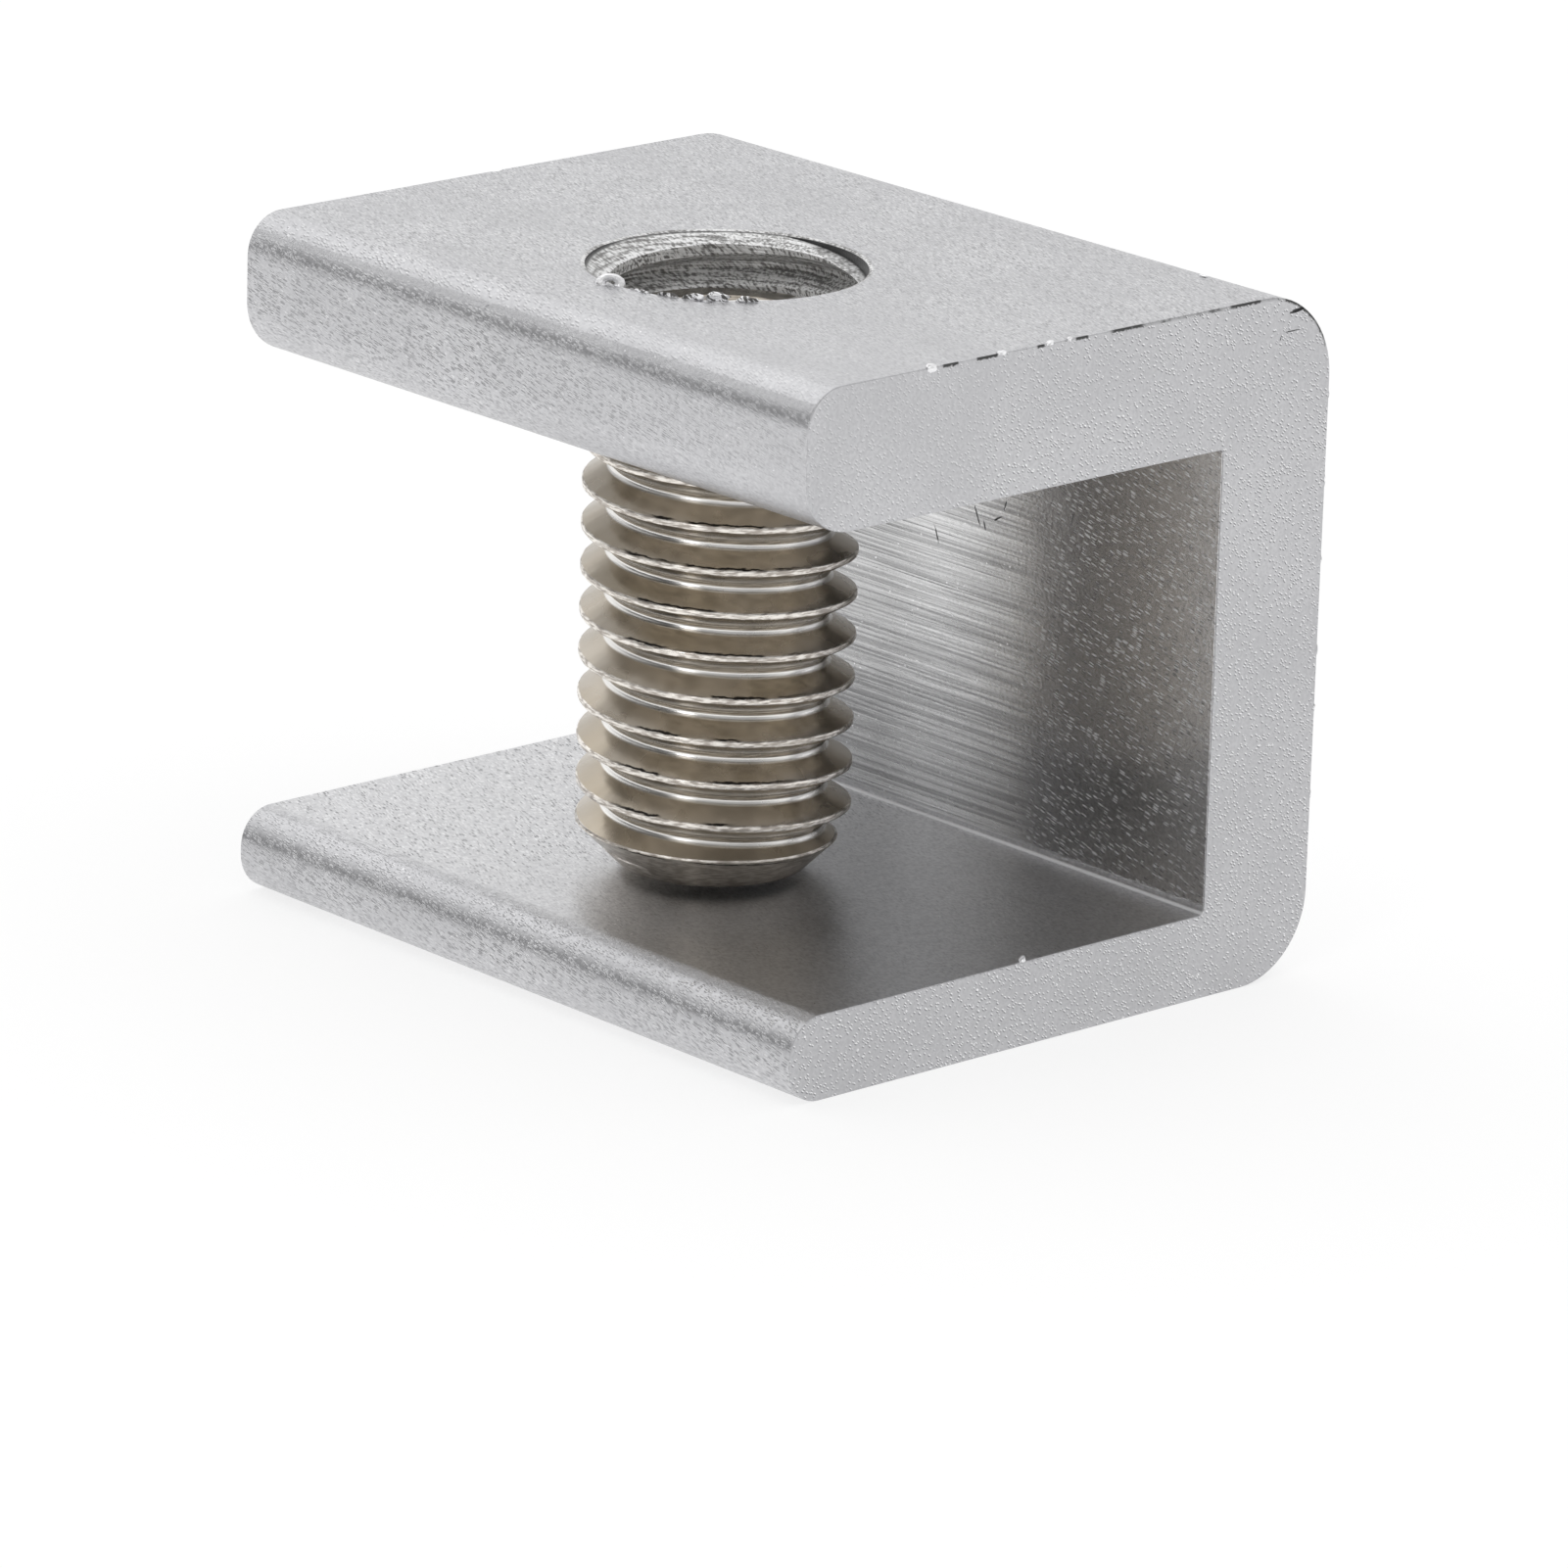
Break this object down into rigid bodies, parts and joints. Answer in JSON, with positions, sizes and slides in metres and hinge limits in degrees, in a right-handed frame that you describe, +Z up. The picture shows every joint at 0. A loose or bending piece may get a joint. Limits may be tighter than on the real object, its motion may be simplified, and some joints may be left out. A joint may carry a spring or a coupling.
{
  "type": "sliding window lock",
  "caption": "C-shaped aluminium clamp with a socket grub screw through its thick flange, which grips a window track so that the sash can't slide past.",
  "frame": {"origin": "middle of the underside, where the lock rests", "axes": "+X along the extrusion from sawn end to sawn end, +Y from the open nose to the back of the web, +Z up along the screw towards its socket"},
  "size_m": [0.024, 0.0198, 0.0203],
  "materials": {
    "clamp_alloy": "bead-blasted extrusion with sawn ends",
    "screw_steel": "bright nickel plating on rolled threads"
  },
  "bodies": {
    "clamp": {"clamp_body": "clamp_alloy"},
    "screw": {"grub_screw": "screw_steel"}
  },
  "joints": [
    {"name": "screw_travel", "type": "slide", "parent": "clamp", "child": "screw", "axis": [0, 0, 1], "range_m": [-0.0003, 0.01375]}
  ]
}
